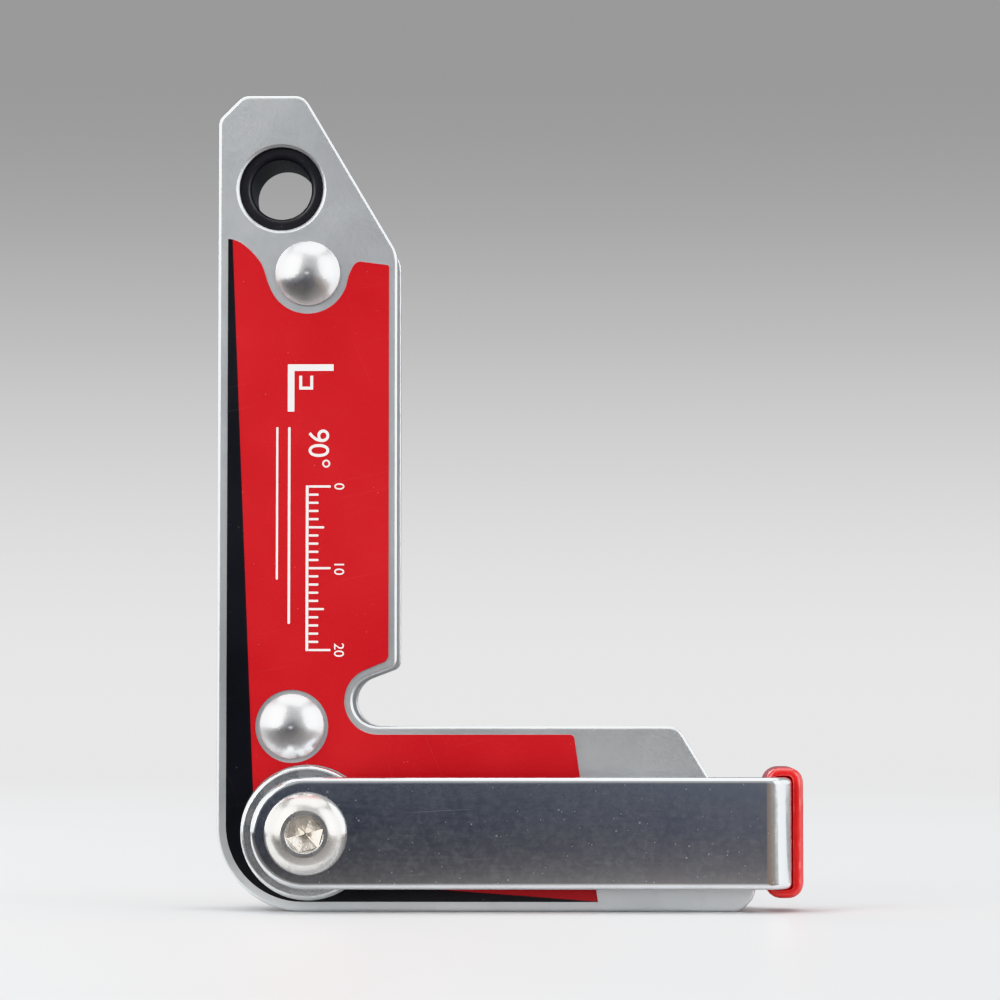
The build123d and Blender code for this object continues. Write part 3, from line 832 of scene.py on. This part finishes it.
def cap_rings(front, back, half_x, half_z, middle_x, middle_z):
    """Rings up the pocket wall, over the lip, along the outside and round the closed end."""
    fit = 0.02 * MM
    pocket_x = (ARM_HIGH.x - (GRIP_LOW.x + 1.3 * MM)) / 2 + fit
    pocket_z = (ARM_HIGH.z - ARM_LOW.z) / 2 + fit
    pocket_middle = ARM_HIGH.x - pocket_x + fit
    pocket = (pocket_x, pocket_z, POCKET_ROUND, pocket_middle, middle_z)
    rings = [
        cap_ring(front + 4.0 * MM, *pocket),
        cap_ring(front + 0.34 * MM, *pocket, wave=0.1 * MM),
    ]
    lip_x, lip_z = half_x - 0.05 * MM, half_z - 0.05 * MM
    for behind, spread in LIP:
        share = spread / LIP_SPREAD
        rings.append(cap_ring(
            front + behind * MM,
            pocket_x + (lip_x - pocket_x) * share,
            pocket_z + (lip_z - pocket_z) * share,
            POCKET_ROUND + 1.6 * MM * share,
            pocket_middle + (middle_x - pocket_middle) * share,
            middle_z,
            wave=0.24 * MM,
        ))
    for share, swell in BODY:
        grow = (swell - 0.06) * MM
        rings.append(cap_ring(
            front + (back - front) * share,
            half_x + grow,
            half_z + grow,
            BODY_ROUND,
            middle_x,
            middle_z,
            wave=0.05 * MM,
        ))
    for step in range(1, END_STEPS):
        angle = step / END_STEPS * math.pi / 2
        inset = BODY_ROUND * (1 - math.cos(angle))
        rings.append(cap_ring(
            back - BODY_ROUND + BODY_ROUND * math.sin(angle),
            half_x - 0.02 * MM - inset,
            half_z - 0.02 * MM - inset,
            max(BODY_ROUND - inset * 0.9, 0.5 * MM),
            middle_x,
            middle_z,
        ))
    rings.append(cap_ring(
        back - 0.01 * MM,
        max((half_x - BODY_ROUND) * 0.5, 0.12 * MM),
        (half_z - BODY_ROUND) * 0.94,
        0.1 * MM,
        middle_x,
        middle_z,
    ))
    return rings


def dipped_cap():
    """Closed vinyl sock over the turned lever tip, open to the front (-Y): a rounded-rectangle
    tube with a rolled, uneven lip, a slightly swollen body and a small run on the closed end."""
    middle_x, middle_z = (GRIP_LOW.x + GRIP_HIGH.x) / 2, (GRIP_LOW.z + GRIP_HIGH.z) / 2
    half_x, half_z = (GRIP_HIGH.x - GRIP_LOW.x) / 2, (GRIP_HIGH.z - GRIP_LOW.z) / 2
    front, back = GRIP_LOW.y, GRIP_HIGH.y
    rings = cap_rings(front, back, half_x, half_z, middle_x, middle_z)
    bm = bmesh.new()
    rows = [[bm.verts.new(point) for point in ring] for ring in rings]
    for row, following in zip(rows, rows[1:]):
        for i in range(RING_POINTS):
            after = (i + 1) % RING_POINTS
            bm.faces.new((row[i], row[after], following[after], following[i]))
    bm.faces.new(rows[-1])
    bm.faces.new(list(reversed(rows[0])))
    # slow unevenness of the skin, and the drained run near the lower end
    run_x, run_z = middle_x + 0.4 * MM, middle_z - half_z * 0.55
    run_width, run_height, run_depth = 1.1 * MM, 1.5 * MM, 0.45 * MM
    for vert in bm.verts:
        if vert.co.y > front + 1.6 * MM:
            outward = Vector((vert.co.x - middle_x, 0, (vert.co.z - middle_z) * 0.3))
            if outward.length > 0:
                outward.normalize()
            slow = 0.055 * MM * noise.noise(vert.co * 330)
            quick = 0.03 * MM * noise.noise(vert.co * 900)
            vert.co += outward * (slow + quick - 0.03 * MM)
        if vert.co.y > back - 1.2 * MM:
            across = (vert.co.x - run_x) ** 2 / run_width ** 2
            along = (vert.co.z - run_z) ** 2 / run_height ** 2
            vert.co.y += run_depth * math.exp(-(across + along))
    bmesh.ops.recalc_face_normals(bm, faces=bm.faces)
    sock = mesh_object("grip_sock", bm, dipped_vinyl("grip_vinyl"))
    for polygon in sock.data.polygons:
        polygon.use_smooth = True
    smooth = sock.modifiers.new("smooth", "SUBSURF")
    smooth.levels = 1
    smooth.render_levels = 1
    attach(sock, "lever")
    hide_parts("lever_grip")


dipped_cap()


# ------------------------------------------------------------------ stage
HORIZON = 0.86              # brightness where floor and backdrop meet
WHITE = (1.0, 1.0, 1.0)
CARD_WIDTH = (-0.9, 0.8)    # X range of both reflection cards
CARD_HEIGHT = 0.0006
DARK_CARD_NEAR = -0.015     # Y of the dark card's edge by the part
GREY_CARD_NEAR = 0.03       # Y of the grey card's edge by the part
FLOOR_HALF = 3.0

# dark card going away from the part: share of the first metre, colour
DARK_AWAY = (
    (0.0, (0.40, 0.39, 0.385)),
    (0.012, (0.24, 0.23, 0.225)),
    (0.040, (0.165, 0.155, 0.153)),
    (0.080, (0.108, 0.100, 0.100)),
    (0.15, (0.076, 0.073, 0.080)),
    (0.33, (0.060, 0.062, 0.078)),
    (0.64, (0.054, 0.061, 0.084)),
    (1.0, (0.12, 0.135, 0.16)),
)
# dark card towards the right (+X): angle in radians about the strap's bend, colour
DARK_TURNING = (
    (0.20, (0.150, 0.118, 0.098)),
    (0.62, (0.185, 0.160, 0.142)),
    (0.74, (0.235, 0.240, 0.235)),
    (0.92, (0.235, 0.240, 0.235)),
    (1.0, (0.62, 0.62, 0.62)),
)


def dark_card_light(graph, x, y):
    """Dark navy away from the part; towards the right brown, then grey, then lit."""
    away = graph.ramp(y.fade(DARK_CARD_NEAR, DARK_CARD_NEAR - 1.0), DARK_AWAY)
    # brighter with the bearing to the right, as seen from Y = 0.4
    strength = (x / (0.4 - y)).fade(0.0, 0.12, to=(1.15, 2.2))
    # angle about the strap's bend at X = 0.068, Y = -0.008
    turning = graph.calc("ARCTAN2", x - 0.068, -0.008 - y)
    to_right = turning.fade(0.07, 0.22, smooth=True)
    return to_right.colours(away, graph.ramp(turning, DARK_TURNING)), strength


def grey_card_light(graph, x, y):
    """Mid-grey, darker away from the part."""
    return (0.97, 0.98, 1.0), y.fade(GREY_CARD_NEAR, 0.5, to=(0.50, 0.17))


def reflection_card(name, material_name, y_range, light):
    """Glowing card on the floor, seen from above and by reflections only."""
    material = bpy.data.materials.new(material_name)
    graph = Graph(material)
    x, y, _ = graph.split(graph.place)
    glow = graph.glow(*light(graph, x, y))
    clear = graph.add("ShaderNodeBsdfTransparent")
    beneath = graph.add("ShaderNodeNewGeometry", output="Backfacing")
    one_sided = graph.mix_shaders(beneath, glow, clear)
    graph.node("ShaderNodeOutputMaterial", {0: one_sided})
    card = level_sheet(name, CARD_WIDTH, y_range, CARD_HEIGHT, material)
    card.visible_camera = False
    card.visible_diffuse = False
    card.visible_shadow = False
    card.visible_transmission = False
    card.visible_volume_scatter = False


def stage_material():
    """Pale floor; for the camera it runs into the backdrop's tone with distance, so there is
    no horizon line."""
    mat = Surface("stage_pale")
    mat.colour = mat.noise(scale=9).colours((0.66, 0.665, 0.67), (0.69, 0.695, 0.70))
    mat.rough = 0.42
    mat.bump(mat.noise(scale=900), mm=0.01, strength=0.2)
    x, y, _ = mat.split(mat.place)
    far = mat.distance(x, y).fade(0.20, 1.0, smooth=True)
    seen = far * mat.camera_ray()
    mat.shader = mat.mix_shaders(seen, mat.shader, mat.glow(WHITE, HORIZON))
    return mat.done()


reflection_card("studio_flag", "flag_dark", (-2.4, DARK_CARD_NEAR), dark_card_light)
reflection_card("back_card", "back_card_grey", (GREY_CARD_NEAR, 2.4), grey_card_light)
floor_range = (-FLOOR_HALF, FLOOR_HALF)
level_sheet("stage_floor", floor_range, floor_range, 0, stage_material())


# ------------------------------------------------------------------ world
def studio_world():
    """Pale room, by direction: x, y and z are those of the ray."""
    world = bpy.data.worlds.new("studio")
    bpy.context.scene.world = world
    graph = Graph(world, "Generated")
    x, y, z = graph.split(graph.place)
    level = z.fade(-0.1, 0.9, to=(0.50, 0.60), smooth=True)
    # blue-grey patches straight along -Y and +Y, white elsewhere
    off_front = y.fade(-0.99, -0.90, smooth=True)
    off_back = y.fade(0.97, 0.72, smooth=True)
    room = off_front.min(off_back).colours((0.42, 0.44, 0.48), WHITE)
    # the left and right walls are lit: tall bright panels in domes, bends and rounded edges
    left = x.fade(-0.66, -0.82, to=(0.0, 1.3), smooth=True)
    right = x.fade(0.68, 0.84, to=(0.0, 1.1), smooth=True)
    below_ceiling = z.fade(0.86, 0.60, smooth=True)
    total = level + (left + right) * below_ceiling
    # what the camera sees past the floor: near white at the horizon, grey above
    backdrop = z.fade(0.0, 0.17, to=(HORIZON, 0.36), smooth=True)
    camera_ray = graph.camera_ray()
    background = graph.add("ShaderNodeBackground", {
        "Color": camera_ray.colours(room, WHITE),
        "Strength": camera_ray.values(total, backdrop),
    })
    graph.node("ShaderNodeOutputWorld", {0: background})


studio_world()


# ------------------------------------------------------------------ lights and camera
LIGHT_TARGET = Vector((0.034, 0.0, 0.05))


def aim(target_object, place, target):
    target_object.location = place
    turn = (target - Vector(place)).to_track_quat("-Z", "Y")
    target_object.rotation_euler = turn.to_euler()


def area_light(name, place, size, watts, colour=WHITE, height=None):
    """Area light facing the part; square unless a height is given."""
    light = bpy.data.lights.new(name, "AREA")
    light.shape = "RECTANGLE" if height else "SQUARE"
    light.size = size
    if height:
        light.size_y = height
    light.energy = watts
    light.color = colour
    aim(add_object(name, light), place, LIGHT_TARGET)


area_light(
    "softbox_left", (-1.28, -1.15, 0.86), size=0.92, height=1.5, watts=21.0,
    colour=(1.0, 0.99, 0.97),
)
area_light(
    "softbox_right", (1.48, -1.05, 0.76), size=0.84, height=1.5, watts=15.0,
    colour=(0.97, 0.98, 1.0),
)
area_light("softbox_top", (0.05, 0.05, 1.75), size=1.7, watts=22.0)
area_light("rim_back", (-0.75, 1.55, 0.95), size=0.8, watts=9.0)

CAMERA_PLACE = Vector((0.0417, -0.47, 0.024))
CAMERA_TARGET = Vector((0.0345, 0.0, 0.0505))
SENSOR_WIDTH = 36.0         # mm
VIEW_WIDTH = 0.124          # width in view at the target

camera = add_object("photo_view", bpy.data.cameras.new("photo_view"))
aim(camera, CAMERA_PLACE, CAMERA_TARGET)
camera.data.sensor_width = SENSOR_WIDTH
camera.data.lens = SENSOR_WIDTH * (CAMERA_TARGET - CAMERA_PLACE).length / VIEW_WIDTH
camera.data.clip_start = 0.01

scene = bpy.context.scene
scene.camera = camera
scene.view_settings.view_transform = "Khronos PBR Neutral"
scene.view_settings.look = "None"
scene.view_settings.exposure = 0.0
